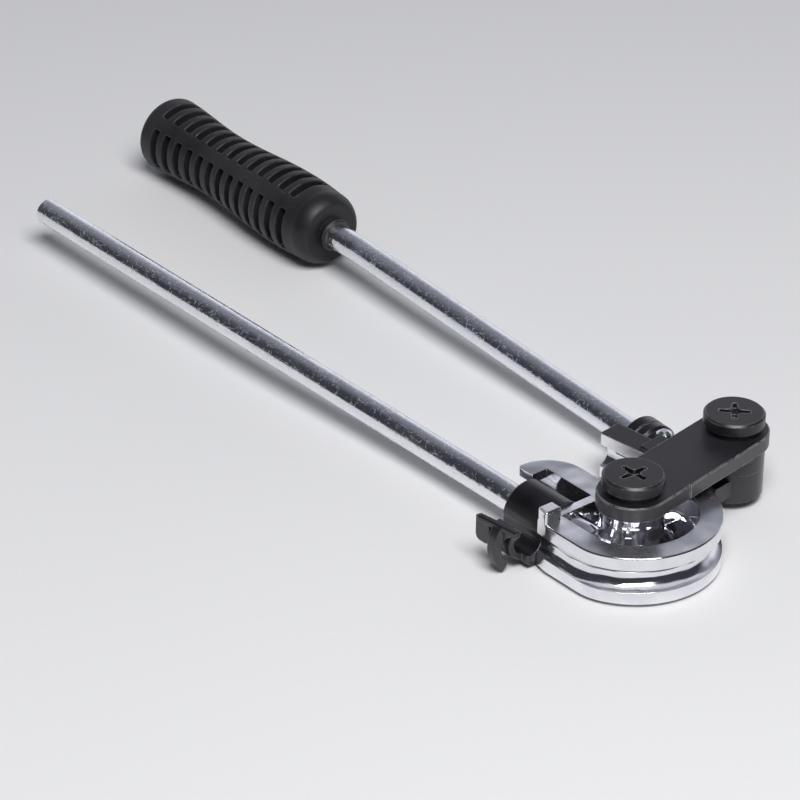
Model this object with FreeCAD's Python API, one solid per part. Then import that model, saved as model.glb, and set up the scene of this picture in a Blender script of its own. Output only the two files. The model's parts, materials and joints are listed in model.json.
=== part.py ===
import FreeCAD, Part
import math
import os

# Two-handed lever bender for small tube, closed after a full bend. Millimetres, +Z up.
# The origin is on the axis of the bend, on the underside of the former.
# The handles point along +X. The straight run-in of the tube is on the +Y side.

# Bend
tube_diameter = 10.0
bend_radius = 36.0
lip_thickness = 5.5
overbend_angle = 6.2
tube_radius = tube_diameter / 2
former_height = tube_diameter + 2 * lip_thickness
mid_height = former_height / 2
cut_overrun = 2.0

# Fits
running_clearance = 0.06
face_clearance = 0.1
part_clearance = 0.3
seat_clearance = 0.02

# Former
former_end = 6.0
former_sweep = 200.0
wall_outer = 18.0
wall_thickness = 4.0
wall_side = 34.3
wall_blend_angle = 120.0
wall_taper = 1.2
arm_outer = -6.0
arm_inner = 5.0
arm_tip_radius = 17.0
finger_inner = 44.1
finger_width = 8.5
finger_thickness = 4.0
recess_radius = 26.5
recess_side = 24.4
recess_floor = 8.5
end_wall = 3.5
boss_radius = 13.0
boss_flare = 4.0
recess_round = 2.0
rib_thickness = 2.6
rib_depth = 5.0
rib_angles = (132.0, 268.0)
stop_length = 6.0
stop_inner = 26.0
stop_height = 5.5
stop_round = 1.0
lip_round = 0.7
bottom_recess_radius = 27.0
bottom_recess_depth = 2.0

# Rods
rod_diameter = 12.0
rod_radius = rod_diameter / 2
rod_offset = 19.0
finger_end = rod_offset - rod_radius - part_clearance
fixed_rod_end = 370.0
fixed_rod_start = 3.0
rod_edge = 1.4
socket_wall = 2.5
rod_pin_radius = 1.5
rod_pin_place = 9.0
rod_pin_recess = 1.0

# Hub and pivot hardware
link_length = 65.0
link_angle = -81.0
link_end_radius = 14.5
link_bottom = 23.9
link_thickness = 6.2
link_round = 0.8
index_notch = 0.6
index_notch_place = 18.0
spacer_thickness = 0.7
spacer_radius = 10.5
neck_radius = 11.0
neck_height = 3.0
head_radius = 12.5
head_height = 4.8
head_chamfer = 0.9
cross_length = 6.4
cross_width = 2.8
cross_tip_width = 1.8
cross_depth = 2.4
cross_pit_radius = 2.5
cross_pit_depth = 3.6
hub_cross_turn = 0.0
pivot_cross_turn = 45.5
hub_shank_radius = 6.0
pivot_shank_radius = 5.0
bush_wall = 2.0
nut_height = 3.6
nut_recess = 0.5
washer_height = 0.9
hub_nut_flats = 17.0
pivot_nut_flats = 13.0
nut_room = 1.5

# Tube hook
hook_collar_radius = 11.8
hook_end = 40.9
hook_ledge_end = 30.0
hook_ledge_reach = 37.4
hook_ledge_top = 7.5
hook_lip_gap = 0.6
pad_wall = 2.8
pad_start = 21.5
pad_end = 30.5
pad_rise_angle = 50.0
pad_drop_angle = 100.0
pad_clearance = 0.6
claw_radius = 15.0
claw_wall = 4.0
claw_start = 22.8
claw_end = 27.2
claw_drop_angle = 48.0
claw_rise_angle = 41.0
finger_bar_start = 15.2
finger_bar_end = 35.6
finger_bar_width = 2.8
finger_bar_front = 46.7
finger_bar_thickness = 2.4
finger_bar_turn = 7.0
finger_plate_start = 29.6
finger_plate_end = 37.6
finger_plate_wall = 2.2
finger_plate_bottom = 8.6
finger_plate_round = 2.5
hook_round = 1.2

# Shoe
shoe_start = 3.0
shoe_end = 48.2
shoe_depth = 8.9
shoe_round = 0.6
shoe_overhang = 1.7
shoe_overhang_thickness = 1.8
rivet_radius = 1.6
rivet_places = (9.0, 22.0)
shoe_screw_radius = 2.0
shoe_screw_head_radius = 3.3
shoe_screw_head_height = 2.4
shoe_screw_place = 17.8
shoe_screw_bite = 3.0
shoe_screw_length = 11.8

# Moving handle
barrel_radius = 13.1
barrel_bottom = 2.4
barrel_split = 15.0
arm_bottom = 5.5
arm_top = 13.0
strap_thickness = 2.0
strap_left = 28.2
strap_right = -8.0
strap_set_back = 0.3
strap_length = 13.4
strap_shoulder = 7.0
strap_chamfer = 0.5
arm_right = -5.1
arm_left = 27.0
socket_radius = 10.0
socket_depth = 10.8
socket_backing = 7.0
splay_angle = -10.95
rod_start_along = 23.0
rod_start_out = 52.3
bend_place = 222.0
handle_bend_radius = 90.0
grip_rod_length = 144.5
collar_radius = 11.1
collar_length = 12.0
collar_groove_width = 0.9
collar_groove_depth = 0.7
collar_groove_place = 6.1
collar_edge = 1.2
clamp_screw_along = 6.5
clamp_head_radius = 3.2
clamp_head_height = 2.2
clamp_shank_radius = 1.8
clamp_bite = 3.0

# Grip
grip_length = 129.4
grip_angle = -2.2
grip_face_radius = 13.6
grip_step_radius = 14.8
grip_step_length = 1.0
grip_bulge_radius = 18.2
grip_bulge_place = 29.0
grip_waist_radius = 15.7
grip_waist_place = 84.0
grip_far_radius = 17.9
grip_shoulder = 9.0
grip_end_round = 3.2
grip_end_wall = 5.0
grip_rod_gap = 0.1
slot_count = 13
slot_rows = 4
slot_width = 4.5
slot_depth = 4.4
slot_angle = 68.0
slot_turn = 0.0
first_slot = 17.0
last_slot = 11.7
grip_bush_radius = 7.6
grip_bush_length = 4.0


def vector(x, y, z):
    return FreeCAD.Vector(x, y, z)


up = vector(0, 0, 1)
along = vector(1, 0, 0)
centre = vector(0, 0, 0)


def disc(radius, bottom, top, x=0, y=0):
    """Upright cylinder between two heights."""
    return Part.makeCylinder(radius, top - bottom, vector(x, y, bottom), up)


def tube(outer, inner, bottom, top, x=0, y=0):
    """Upright ring between two heights."""
    hole = disc(inner, bottom - cut_overrun, top + cut_overrun, x, y)
    return disc(outer, bottom, top, x, y).cut(hole)


def bar(radius, start, end, y, z):
    """Cylinder along X between two places."""
    return Part.makeCylinder(radius, end - start, vector(start, y, z), along)


def block(x_range, y_range, z_range):
    """Box between pairs of places."""
    corner = vector(x_range[0], y_range[0], z_range[0])
    sizes = [pair[1] - pair[0] for pair in (x_range, y_range, z_range)]
    return Part.makeBox(sizes[0], sizes[1], sizes[2], corner)


def prism(points, bottom, top):
    """Upright solid over a closed outline of plan points."""
    corners = [vector(x, y, bottom) for x, y in points]
    outline = Part.makePolygon(corners + corners[:1])
    return Part.Face(outline).extrude(up * (top - bottom))


def turned(profile):
    """Solid of revolution about X from pairs of place and radius."""
    corners = [vector(x, radius, 0) for x, radius in profile]
    outline = Part.makePolygon(corners + corners[:1])
    return Part.Face(outline).revolve(centre, along, 360)


def edges_where(shape, test):
    """Edges of a shape whose middle passes a test."""
    found = []
    for edge in shape.Edges:
        middle = edge.valueAt((edge.FirstParameter + edge.LastParameter) / 2)
        if test(edge, middle):
            found.append(edge)
    return found


def turned_about_hub(shape, angle):
    """Copy of a shape turned about the axis of the bend."""
    copy = shape.copy()
    copy.rotate(centre, up, angle)
    return copy


def polar(radius, angle):
    """Plan place at a radius and an angle in degrees."""
    return (radius * math.cos(math.radians(angle)), radius * math.sin(math.radians(angle)))


def hexagon(flats, bottom, top, x, y):
    """Upright hexagonal prism about a place."""
    corner = flats / 2 / math.cos(math.radians(30))
    points = [polar(corner, 60 * side) for side in range(6)]
    return prism([(x + px, y + py) for px, py in points], bottom, top)


# Places that several pieces share

link_top = link_bottom + link_thickness
boss_top = link_bottom - spacer_thickness - face_clearance
pivot = polar(link_length, link_angle)
pivot_in_handle = polar(link_length, link_angle - overbend_angle)
head_bottom = link_top + neck_height
head_top = head_bottom + head_height
shoe_front = -(bend_radius + part_clearance)
shoe_back = shoe_front - shoe_depth
shoe_screw_height = (arm_bottom + arm_top) / 2
nut_hole_depth = nut_recess + nut_height + washer_height + face_clearance


def groove_path(radius):
    """Tool that cuts the tube's groove round the former and along its straight."""
    section = Part.Wire(Part.makeCircle(radius, vector(0, bend_radius, mid_height), along))
    turn = Part.Face(section).revolve(centre, up, former_sweep)
    straight = bar(radius, 0, wall_outer + cut_overrun, bend_radius, mid_height)
    return turn.fuse(straight)


def arm():
    """Hooked arm that reaches past the far side of the collar."""
    tip_x = finger_inner + finger_width
    centre_x = tip_x - arm_tip_radius
    centre_y = arm_outer + arm_tip_radius
    corner_x, corner_y = polar(arm_tip_radius, -45)
    start = vector(centre_x, arm_outer, 0)
    middle = vector(centre_x + corner_x, centre_y + corner_y, 0)
    side = vector(tip_x, centre_y, 0)
    places = [(tip_x, finger_end), (finger_inner, finger_end), (finger_inner, arm_inner)]
    places += [(0, arm_inner), (0, arm_outer)]
    corners = [side] + [vector(x, y, 0) for x, y in places] + [start]
    outline = Part.Wire([Part.Arc(start, middle, side).toShape()] + Part.makePolygon(corners).Edges)
    solid = Part.Face(outline).extrude(up * former_height)
    under = block((finger_inner - cut_overrun, tip_x + cut_overrun), (arm_inner, finger_end + cut_overrun),
                  (-cut_overrun, former_height - finger_thickness))
    solid = solid.cut(under)
    finger_middle = former_height - finger_thickness / 2
    corners = edges_where(solid, lambda edge, spot: spot.y > finger_end - lip_round and spot.x > finger_inner
                          and abs(spot.z - finger_middle) < lip_round)
    return solid.makeFillet(hook_round, corners)


def side_trim(radius, side):
    """Tool that takes a round wall in to a flat side, with a blend between the two."""
    start_x, start_y = polar(radius, wall_blend_angle)
    turn = math.radians(wall_blend_angle - 90)
    blend_radius = (side - start_y) / (1 - math.cos(turn))
    meet_x = start_x + blend_radius * math.sin(turn)
    heights = (-cut_overrun, former_height + cut_overrun)
    beyond = radius + cut_overrun
    blend = block((start_x, meet_x), (start_y, beyond), heights)
    blend = blend.cut(disc(blend_radius, 2 * heights[0], 2 * heights[1], meet_x, side - blend_radius))
    return blend.fuse(block((meet_x, wall_outer + cut_overrun), (side, beyond), heights))


def end_outline(inner):
    """Plan of the end of the straight, from an inner place out to its tapered side."""
    start = wall_outer - stop_length
    return [(start, inner), (wall_outer, inner), (wall_outer, wall_side - wall_taper), (start, wall_side)]


def former_plan():
    """Half disc, straight run-in and arm, before anything is cut out."""
    disc_all = disc(bend_radius, 0, former_height)
    reach = bend_radius + cut_overrun
    half = disc_all.common(block((-reach, 0), (-reach, reach), (0, former_height)))
    tail = disc_all.common(block((0, former_end), (-reach, 0), (0, former_height)))
    straight = block((0, wall_outer - stop_length), (arm_outer, bend_radius), (0, former_height))
    end = prism(end_outline(arm_outer), 0, former_height)
    solid = half.fuse([tail, straight, end]).cut(side_trim(bend_radius, wall_side)).removeSplitter()
    rims = edges_where(solid, lambda edge, spot: math.hypot(spot.x, spot.y) > recess_radius + end_wall
                       and abs(spot.z - mid_height) > tube_radius)
    return solid.makeFillet(lip_round, rims).fuse(arm()).removeSplitter()


def hollow():
    """Dished hollow in the top of the former, round its boss."""
    top = former_height + cut_overrun
    reach = recess_radius
    bowl = disc(recess_radius, recess_floor, top)
    bowl = bowl.common(block((-reach, former_end - end_wall), (-reach, reach), (recess_floor, top)))
    run = block((0, wall_outer - wall_thickness), (0, recess_radius), (recess_floor, top))
    room = bowl.fuse(run).cut(side_trim(recess_radius, recess_side)).removeSplitter()
    floor_edges = edges_where(room, lambda edge, spot: abs(spot.z - recess_floor) < lip_round)
    return room.makeFillet(recess_round, floor_edges)


def former_inside():
    """Boss, ribs and rod housing that stand in the hollow."""
    boss = disc(boss_radius, recess_floor, boss_top)
    flare = Part.makeCone(boss_radius + boss_flare, boss_radius, boss_flare, vector(0, 0, recess_floor), up)
    housing = bar(rod_radius + socket_wall, 0, wall_outer - wall_thickness, rod_offset, mid_height)
    pieces = [boss, flare, housing]
    for angle in rib_angles:
        half = rib_thickness / 2
        rib = block((0, recess_radius + end_wall), (-half, half), (recess_floor, former_height - rib_depth))
        rib.rotate(centre, up, angle)
        pieces.append(rib)
    return pieces


def end_stop():
    """Raised block at the end of the straight, which the hook swings beside."""
    solid = prism(end_outline(stop_inner), former_height - stop_round, former_height + stop_height)
    lifted = former_height + stop_round
    return solid.makeFillet(stop_round, edges_where(solid, lambda edge, spot: spot.z > lifted))


def rod_pin_hole(radius, bottom):
    """Upright pin, or the hole for it, from a height up to the rod's upper side."""
    return disc(radius, bottom, mid_height + rod_radius - rod_pin_recess, rod_pin_place, rod_offset)


def former():
    solid = former_plan()
    below = disc(bottom_recess_radius, -cut_overrun, bottom_recess_depth)
    below = below.common(block((-bend_radius, 0), (-bend_radius, bend_radius), (-cut_overrun, former_height)))
    solid = solid.cut([hollow(), groove_path(tube_radius), below])
    solid = solid.fuse(former_inside() + [end_stop()])
    bore_radius = hub_shank_radius + running_clearance + bush_wall + seat_clearance
    bore = disc(bore_radius, -cut_overrun, boss_top + cut_overrun)
    nut_hole = disc(hub_nut_flats / 2 / math.cos(math.radians(30)) + nut_room, -cut_overrun, nut_hole_depth)
    socket = bar(rod_radius + seat_clearance, fixed_rod_start - seat_clearance, wall_outer + cut_overrun,
                 rod_offset, mid_height)
    pin_hole = rod_pin_hole(rod_pin_radius + seat_clearance, -cut_overrun)
    return solid.cut([bore, nut_hole, socket, pin_hole]).removeSplitter()


def fixed_rod():
    profile = [(fixed_rod_start, 0), (fixed_rod_start, rod_radius), (fixed_rod_end - rod_edge, rod_radius),
               (fixed_rod_end, rod_radius - rod_edge), (fixed_rod_end, 0)]
    solid = turned(profile)
    solid.translate(vector(0, rod_offset, mid_height))
    return solid.cut(rod_pin_hole(rod_pin_radius + seat_clearance, -cut_overrun))


def fixed_rod_pin():
    return rod_pin_hole(rod_pin_radius, rod_pin_recess)


# Hub and pivot hardware

def cross_recess(x, y, turn):
    """Four tapered arms and a conical pit that cut the driver's cross into a screw head."""
    half = cross_width / 2
    tip = cross_tip_width / 2
    points = [(-half, half), (-half, -half), (half, -half)]
    points += [(cross_length, -tip), (cross_length, tip), (half, half)]
    pit = Part.makeCone(tip, cross_pit_radius, cross_pit_depth, vector(0, 0, head_top - cross_pit_depth), up)
    recess = pit.fuse(disc(cross_pit_radius, head_top, head_top + cut_overrun))
    for quarter in range(4):
        one = prism(points, head_top - cross_depth, head_top + cut_overrun)
        one.rotate(centre, up, 90 * quarter + turn)
        recess = recess.fuse(one)
    recess.translate(vector(x, y, 0))
    return recess


def pivot_screw(place, shank_radius, bottom, turn):
    """Broad flat head with a cross, on a plain shank."""
    x, y = place
    head = disc(head_radius, head_bottom, head_top, x, y)
    rim = edges_where(head, lambda edge, spot: spot.z > head_top - head_chamfer / 2)
    head = head.makeChamfer(head_chamfer, rim)
    shank = disc(shank_radius, bottom, head_bottom, x, y)
    return head.fuse(shank).cut(cross_recess(x, y, turn)).removeSplitter()


def neck_washer(place, shank_radius):
    x, y = place
    return tube(neck_radius, shank_radius + seat_clearance, link_top, head_bottom, x, y)


def spacer_washer(place, shank_radius):
    x, y = place
    inner = shank_radius + seat_clearance
    return tube(spacer_radius, inner, link_bottom - spacer_thickness, link_bottom, x, y)


def bush(place, shank_radius, bottom, top):
    x, y = place
    inner = shank_radius + running_clearance
    return tube(inner + bush_wall, inner, bottom, top, x, y)


def lower_washer(place, shank_radius, floor, radius):
    x, y = place
    bottom = floor + nut_recess + nut_height
    return tube(radius, shank_radius + seat_clearance, bottom, bottom + washer_height, x, y)


def shank_nut(place, shank_radius, floor, flats):
    x, y = place
    bottom = floor + nut_recess
    solid = hexagon(flats, bottom, bottom + nut_height, x, y)
    hole = disc(shank_radius + seat_clearance, bottom - cut_overrun, bottom + nut_height + cut_overrun, x, y)
    return solid.cut(hole)


def link_plate():
    """Straight plate with round ends that carries both pivots."""
    half = link_end_radius
    web = block((0, link_length), (-half, half), (link_bottom, link_top))
    ends = [disc(half, link_bottom, link_top), disc(half, link_bottom, link_top, link_length, 0)]
    solid = web.fuse(ends).removeSplitter()
    top_edges = edges_where(solid, lambda edge, spot: spot.z > link_top - link_round / 2)
    solid = solid.makeChamfer(link_round / 2, top_edges)
    notch = disc(index_notch, link_bottom - cut_overrun, link_top + cut_overrun, index_notch_place, -half)
    cuts = [notch]
    for place, shank_radius in ((0, hub_shank_radius), (link_length, pivot_shank_radius)):
        hole_radius = shank_radius + seat_clearance
        cuts.append(disc(hole_radius, link_bottom - cut_overrun, link_top + cut_overrun, place, 0))
    return turned_about_hub(solid.cut(cuts), link_angle)


# Tube hook

def ring_part(outer, inner, places, rise_angle, drop_angle):
    """Part of a ring round the tube, from an angle above its far side to one below it."""
    start, end = places
    ring = bar(outer, start, end, bend_radius, mid_height)
    ring = ring.cut(bar(inner, start - cut_overrun, end + cut_overrun, bend_radius, mid_height))
    reach = outer + cut_overrun
    x_range = (start - cut_overrun, end + cut_overrun)
    above = block(x_range, (bend_radius - reach, bend_radius + reach), (mid_height, mid_height + reach))
    above.rotate(vector(0, bend_radius, mid_height), along, rise_angle)
    below = block(x_range, (bend_radius - reach, bend_radius + reach), (mid_height - reach, mid_height))
    below.rotate(vector(0, bend_radius, mid_height), along, -drop_angle)
    return ring.cut([above, below])


def finger_bar():
    """Thin bar to push with, on top of the hook, and the plate that hangs from its far end."""
    top = former_height - hook_lip_gap
    solid = block((finger_bar_start, finger_bar_end), (finger_bar_front - finger_bar_width, finger_bar_front),
                  (top - finger_bar_thickness, top))
    solid = solid.makeFillet(hook_round / 2, edges_where(
        solid, lambda edge, spot: spot.z > top - hook_round and spot.y > finger_bar_front - hook_round))
    solid.rotate(vector(finger_bar_start, finger_bar_front, 0), up, finger_bar_turn)
    drop = math.sin(math.radians(finger_bar_turn)) * (finger_plate_start - finger_bar_start)
    front = finger_bar_front + drop - hook_lip_gap
    plate = block((finger_plate_start, finger_plate_end), (front - finger_plate_wall, front),
                  (finger_plate_bottom, top - finger_bar_thickness / 2))
    plate = plate.makeFillet(finger_plate_round, edges_where(
        plate, lambda edge, spot: spot.z < finger_plate_bottom + hook_round
        and abs(spot.y - front + finger_plate_wall / 2) < hook_round / 2))
    return [solid, plate]


def hook():
    """Collar that turns on the fixed rod, with a ledge, a pad and a claw for the tube."""
    start = wall_outer + part_clearance
    collar = bar(hook_collar_radius, start, hook_end, rod_offset, mid_height)
    low = hook_lip_gap
    high = former_height - hook_lip_gap
    ledge = block((start, hook_ledge_end), (rod_offset, hook_ledge_reach), (low, hook_ledge_top))
    ledge_edges = edges_where(ledge, lambda edge, spot: spot.y > hook_ledge_reach - hook_round / 2)
    ledge = ledge.makeFillet(hook_round, ledge_edges)
    inner = tube_radius + pad_clearance
    outer = inner + pad_wall
    pad = ring_part(outer, inner, (pad_start, pad_end), pad_rise_angle, pad_drop_angle)
    claw_places = (claw_start, claw_end)
    claw = ring_part(claw_radius, claw_radius - claw_wall, claw_places, claw_rise_angle, claw_drop_angle)
    web = block((pad_start, pad_end), (bend_radius + inner, finger_bar_front),
                (mid_height + inner - pad_wall / 2, high - finger_bar_thickness + hook_lip_gap))
    solid = collar.fuse([ledge, pad, claw, web] + finger_bar())
    near = start - cut_overrun
    far = hook_end + cut_overrun
    way = bar(inner, near, far, bend_radius, mid_height)
    bore = bar(rod_radius + running_clearance, near, far, rod_offset, mid_height)
    return solid.cut([way, bore]).removeSplitter()


# Moving handle, drawn square to the shoe and then turned with it to the closed position

def closed(shape):
    return turned_about_hub(shape, overbend_angle)


def strap_rivet(place, radius):
    middle = (shoe_back - bend_radius - tube_radius) / 2
    return disc(radius, 0, former_height + strap_thickness, place, middle)


def shoe_screw_solid(clearance, head_length):
    """Horizontal cap screw from the back of the arm into the shoe."""
    head_front = shoe_back + shoe_screw_bite - shoe_screw_length
    head = Part.makeCylinder(shoe_screw_head_radius + clearance, head_length,
                             vector(shoe_screw_place, head_front, shoe_screw_height), vector(0, -1, 0))
    shank = Part.makeCylinder(shoe_screw_radius + clearance, shoe_screw_length,
                              vector(shoe_screw_place, head_front, shoe_screw_height), vector(0, 1, 0))
    return head.fuse(shank)


def shoe():
    """Sliding shoe with the outer half of the groove, tangent to the former."""
    solid = block((shoe_start, shoe_end), (shoe_back, shoe_front), (0, former_height))
    front_edges = edges_where(solid, lambda edge, spot: spot.y > shoe_front - shoe_round / 2)
    solid = solid.makeFillet(shoe_round, front_edges)
    way = bar(tube_radius, shoe_start - cut_overrun, shoe_end + cut_overrun, -bend_radius, mid_height)
    overhang = block((shoe_start, shoe_end), (shoe_back - shoe_overhang, shoe_back),
                     (former_height - shoe_overhang_thickness, former_height))
    overhang = overhang.cut(round_rod(socket_radius + part_clearance, -socket_backing, socket_depth))
    solid = solid.fuse(overhang).removeSplitter()
    collar_room = round_rod(collar_radius + part_clearance, socket_depth - part_clearance,
                            socket_depth + collar_length + face_clearance + part_clearance)
    cuts = [way, collar_room] + [strap_rivet(place, rivet_radius + seat_clearance) for place in rivet_places]
    cuts.append(shoe_screw_solid(seat_clearance, shoe_screw_head_height))
    x, y = pivot_in_handle
    cuts.append(disc(barrel_radius + part_clearance, -cut_overrun, former_height + cut_overrun, x, y))
    return closed(solid.cut(cuts))


def bush_hole(bottom, top):
    radius = pivot_shank_radius + running_clearance + bush_wall + seat_clearance
    return disc(radius, bottom, top, pivot_in_handle[0], pivot_in_handle[1])


def rod_direction(angle):
    x, y = polar(1, angle)
    return vector(x, y, 0)


rod_start = vector(rod_start_along, -rod_start_out, mid_height)
splay = rod_direction(splay_angle)
grip_turn = grip_angle - overbend_angle
level = rod_direction(grip_turn)


def on_rod(distance):
    """Place on the straight part of the moving rod."""
    return rod_start + splay * distance


def round_rod(radius, start, end):
    """Cylinder round the moving rod's axis, between two distances from its end."""
    return Part.makeCylinder(radius, end - start, on_rod(start), splay)


def clamp_screw(clearance):
    """Domed screw that holds the moving rod in its socket."""
    place = on_rod(clamp_screw_along)
    seat = mid_height + socket_radius
    shank = disc(clamp_shank_radius + clearance, mid_height + rod_radius - clamp_bite, seat, place.x, place.y)
    head = disc(clamp_head_radius + clearance, seat - clamp_head_height / 2, seat + clamp_head_height / 2,
                place.x, place.y)
    dome = Part.makeCone(clamp_head_radius, clamp_head_radius / 2, clamp_head_height / 2,
                         vector(place.x, place.y, seat + clamp_head_height / 2), up)
    return shank.fuse([head, dome])


def handle_body():
    """Cast arm with the lower half of the barrel and the socket of the moving rod."""
    x, y = pivot_in_handle
    barrel = disc(barrel_radius, barrel_bottom, barrel_split, x, y)
    back = shoe_back - part_clearance / 2
    end = on_rod(socket_depth)
    points = [(arm_right, back), (arm_left, back), (end.x - socket_radius / 2, end.y),
              (end.x - socket_radius, end.y - socket_radius), (x + barrel_radius, y), (arm_right, y)]
    arm_solid = prism(points, arm_bottom, arm_top)
    socket = round_rod(socket_radius, -socket_backing, socket_depth)
    room = block((arm_right - link_length, arm_left + link_length), (back, back + link_length),
                 (0, link_bottom))
    solid = barrel.fuse([arm_solid, socket]).cut(room)
    eye_room = disc(barrel_radius + part_clearance, barrel_split, link_bottom, x, y)
    nut_radius = pivot_nut_flats / 2 / math.cos(math.radians(30)) + nut_room
    cuts = [eye_room, bush_hole(barrel_bottom, link_bottom),
            disc(nut_radius, barrel_bottom - cut_overrun, barrel_bottom + nut_hole_depth, x, y),
            round_rod(rod_radius + seat_clearance, -seat_clearance, socket_depth + cut_overrun),
            clamp_screw(seat_clearance), shoe_screw_solid(seat_clearance, link_length)]
    return closed(solid.cut(cuts).removeSplitter())


def top_strap():
    """Upper half of the barrel with the plate that holds the shoe down."""
    x, y = pivot_in_handle
    eye = disc(barrel_radius, barrel_split, boss_top, x, y)
    front = shoe_front - strap_set_back
    back = front - strap_length
    points = [(strap_right, front), (strap_left, front), (strap_left, back),
              (strap_left - strap_shoulder, back), (x + barrel_radius, y), (x - barrel_radius, y)]
    plate = prism(points, boss_top - strap_thickness, boss_top)
    plate = plate.makeChamfer(strap_chamfer, edges_where(
        plate, lambda edge, spot: spot.z > boss_top - strap_chamfer and spot.y > back - strap_chamfer))
    solid = eye.fuse(plate).cut(bush_hole(barrel_split - cut_overrun, boss_top + cut_overrun))
    return closed(solid.cut([strap_rivet(place, rivet_radius + seat_clearance) for place in rivet_places]))


def strap_rivets():
    return closed(Part.makeCompound([strap_rivet(place, rivet_radius) for place in rivet_places]))


def shoe_screw():
    """The cap screw with the hexagon for its key."""
    key_depth = shoe_screw_head_height / 2
    key = hexagon(shoe_screw_radius * 2, -cut_overrun, key_depth, 0, 0)
    key.rotate(centre, along, -90)
    head_back = shoe_back + shoe_screw_bite - shoe_screw_length - shoe_screw_head_height
    key.translate(vector(shoe_screw_place, head_back, shoe_screw_height))
    return closed(shoe_screw_solid(0, shoe_screw_head_height).cut(key))


def moving_rod():
    """Round rod that leaves the shoe at the splay angle and bends back before the grip."""
    turn = math.radians(grip_turn - splay_angle)
    run_in = handle_bend_radius * math.tan(turn / 2)
    first = on_rod(bend_place - run_in)
    second = on_rod(bend_place) + level * run_in
    end = second + level * grip_rod_length
    side = up.cross(splay)
    bow = on_rod(bend_place - run_in) + side * handle_bend_radius
    middle = bow - rod_direction((splay_angle + grip_turn) / 2 + 90) * handle_bend_radius
    path = Part.Wire([Part.LineSegment(rod_start, first).toShape(), Part.Arc(first, middle, second).toShape(),
                      Part.LineSegment(second, end).toShape()])
    section = Part.Wire(Part.makeCircle(rod_radius, rod_start, splay))
    solid = path.makePipeShell([section], True, False)
    return closed(solid.cut(clamp_screw(seat_clearance)))


def rod_collar():
    start = socket_depth + face_clearance
    solid = round_rod(collar_radius, start, start + collar_length)
    rims = edges_where(solid, lambda edge, spot: edge.Length > collar_radius * 6)
    solid = solid.makeChamfer(collar_edge, rims)
    groove_start = start + collar_length - collar_groove_place
    groove = round_rod(collar_radius + cut_overrun, groove_start - collar_groove_width, groove_start)
    core = round_rod(collar_radius - collar_groove_depth, groove_start - collar_groove_width, groove_start)
    bore = round_rod(rod_radius + seat_clearance, start - cut_overrun, start + collar_length + cut_overrun)
    return closed(solid.cut([groove.cut(core), bore]))


# Grip, drawn along X from its near face and then laid on the end of the rod

def grip_radius(place):
    """Outer radius along the grip, from the step up to the bulge, the waist and the far end."""
    if place < grip_bulge_place:
        share = (place - grip_step_length) / (grip_bulge_place - grip_step_length)
        return grip_step_radius + (grip_bulge_radius - grip_step_radius) * math.sqrt(share * (2 - share))
    if place < grip_waist_place:
        share = (place - grip_bulge_place) / (grip_waist_place - grip_bulge_place)
        blend = (1 - math.cos(math.pi * share)) / 2
        return grip_bulge_radius + (grip_waist_radius - grip_bulge_radius) * blend
    share = (place - grip_waist_place) / (grip_length - grip_waist_place)
    blend = (1 - math.cos(math.pi * share)) / 2
    return grip_waist_radius + (grip_far_radius - grip_waist_radius) * blend


def laid_on_rod(shape):
    """Moves a shape from the grip's own frame to the end of the moving rod."""
    run_in = handle_bend_radius * math.tan(math.radians(grip_turn - splay_angle) / 2)
    near_face = on_rod(bend_place) + level * (run_in + grip_rod_length + grip_end_wall - grip_length)
    copy = shape.copy()
    copy.rotate(centre, up, grip_turn)
    copy.translate(near_face)
    return closed(copy)


def slot(place, row):
    """One cut between two ribs, a part of a ring round the grip."""
    floor = grip_radius(place) - slot_depth
    top = grip_bulge_radius + cut_overrun
    corners = [vector(place - slot_width / 2, 0, floor), vector(place + slot_width / 2, 0, floor),
               vector(place + slot_width / 2, 0, top), vector(place - slot_width / 2, 0, top)]
    face = Part.Face(Part.makePolygon(corners + corners[:1]))
    solid = face.revolve(centre, along, slot_angle)
    solid.rotate(centre, along, slot_turn - slot_angle / 2 + 360 / slot_rows * row)
    return solid


def grip():
    """Ribbed grip, thick at the near end, with a waist and a flared far end."""
    count = 12
    last = grip_length - grip_end_round
    places = [grip_shoulder + (last - grip_shoulder) * step / count for step in range(count + 1)]
    side_points = [vector(place, grip_radius(place), 0) for place in places]
    side = Part.BSplineCurve()
    side.interpolate(side_points)
    face_edge = vector(0, grip_face_radius, 0)
    step_edge = vector(grip_step_length, grip_step_radius, 0)
    shoulder = vector(grip_shoulder / 3, grip_radius(grip_shoulder / 3), 0)
    rim = side_points[-1]
    end_edge = vector(grip_length, rim.y - grip_end_round, 0)
    slant = grip_end_round * (1 - math.cos(math.radians(45)))
    rounding = vector(grip_length - slant, rim.y - slant, 0)
    end_centre = vector(grip_length, 0, 0)
    edges = [Part.makeLine(centre, face_edge), Part.makeLine(face_edge, step_edge),
             Part.Arc(step_edge, shoulder, side_points[0]).toShape(), side.toShape(),
             Part.Arc(rim, rounding, end_edge).toShape(), Part.makeLine(end_edge, end_centre),
             Part.makeLine(end_centre, centre)]
    solid = Part.Face(Part.Wire(edges)).revolve(centre, along, 360)
    step = (grip_length - first_slot - last_slot) / (slot_count - 1)
    cuts = [slot(first_slot + step * number, row) for number in range(slot_count) for row in range(slot_rows)]
    bore = bar(rod_radius + grip_rod_gap, -cut_overrun, grip_length - grip_end_wall + grip_rod_gap, 0, 0)
    return laid_on_rod(solid.cut(cuts + [bore]))


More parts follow.
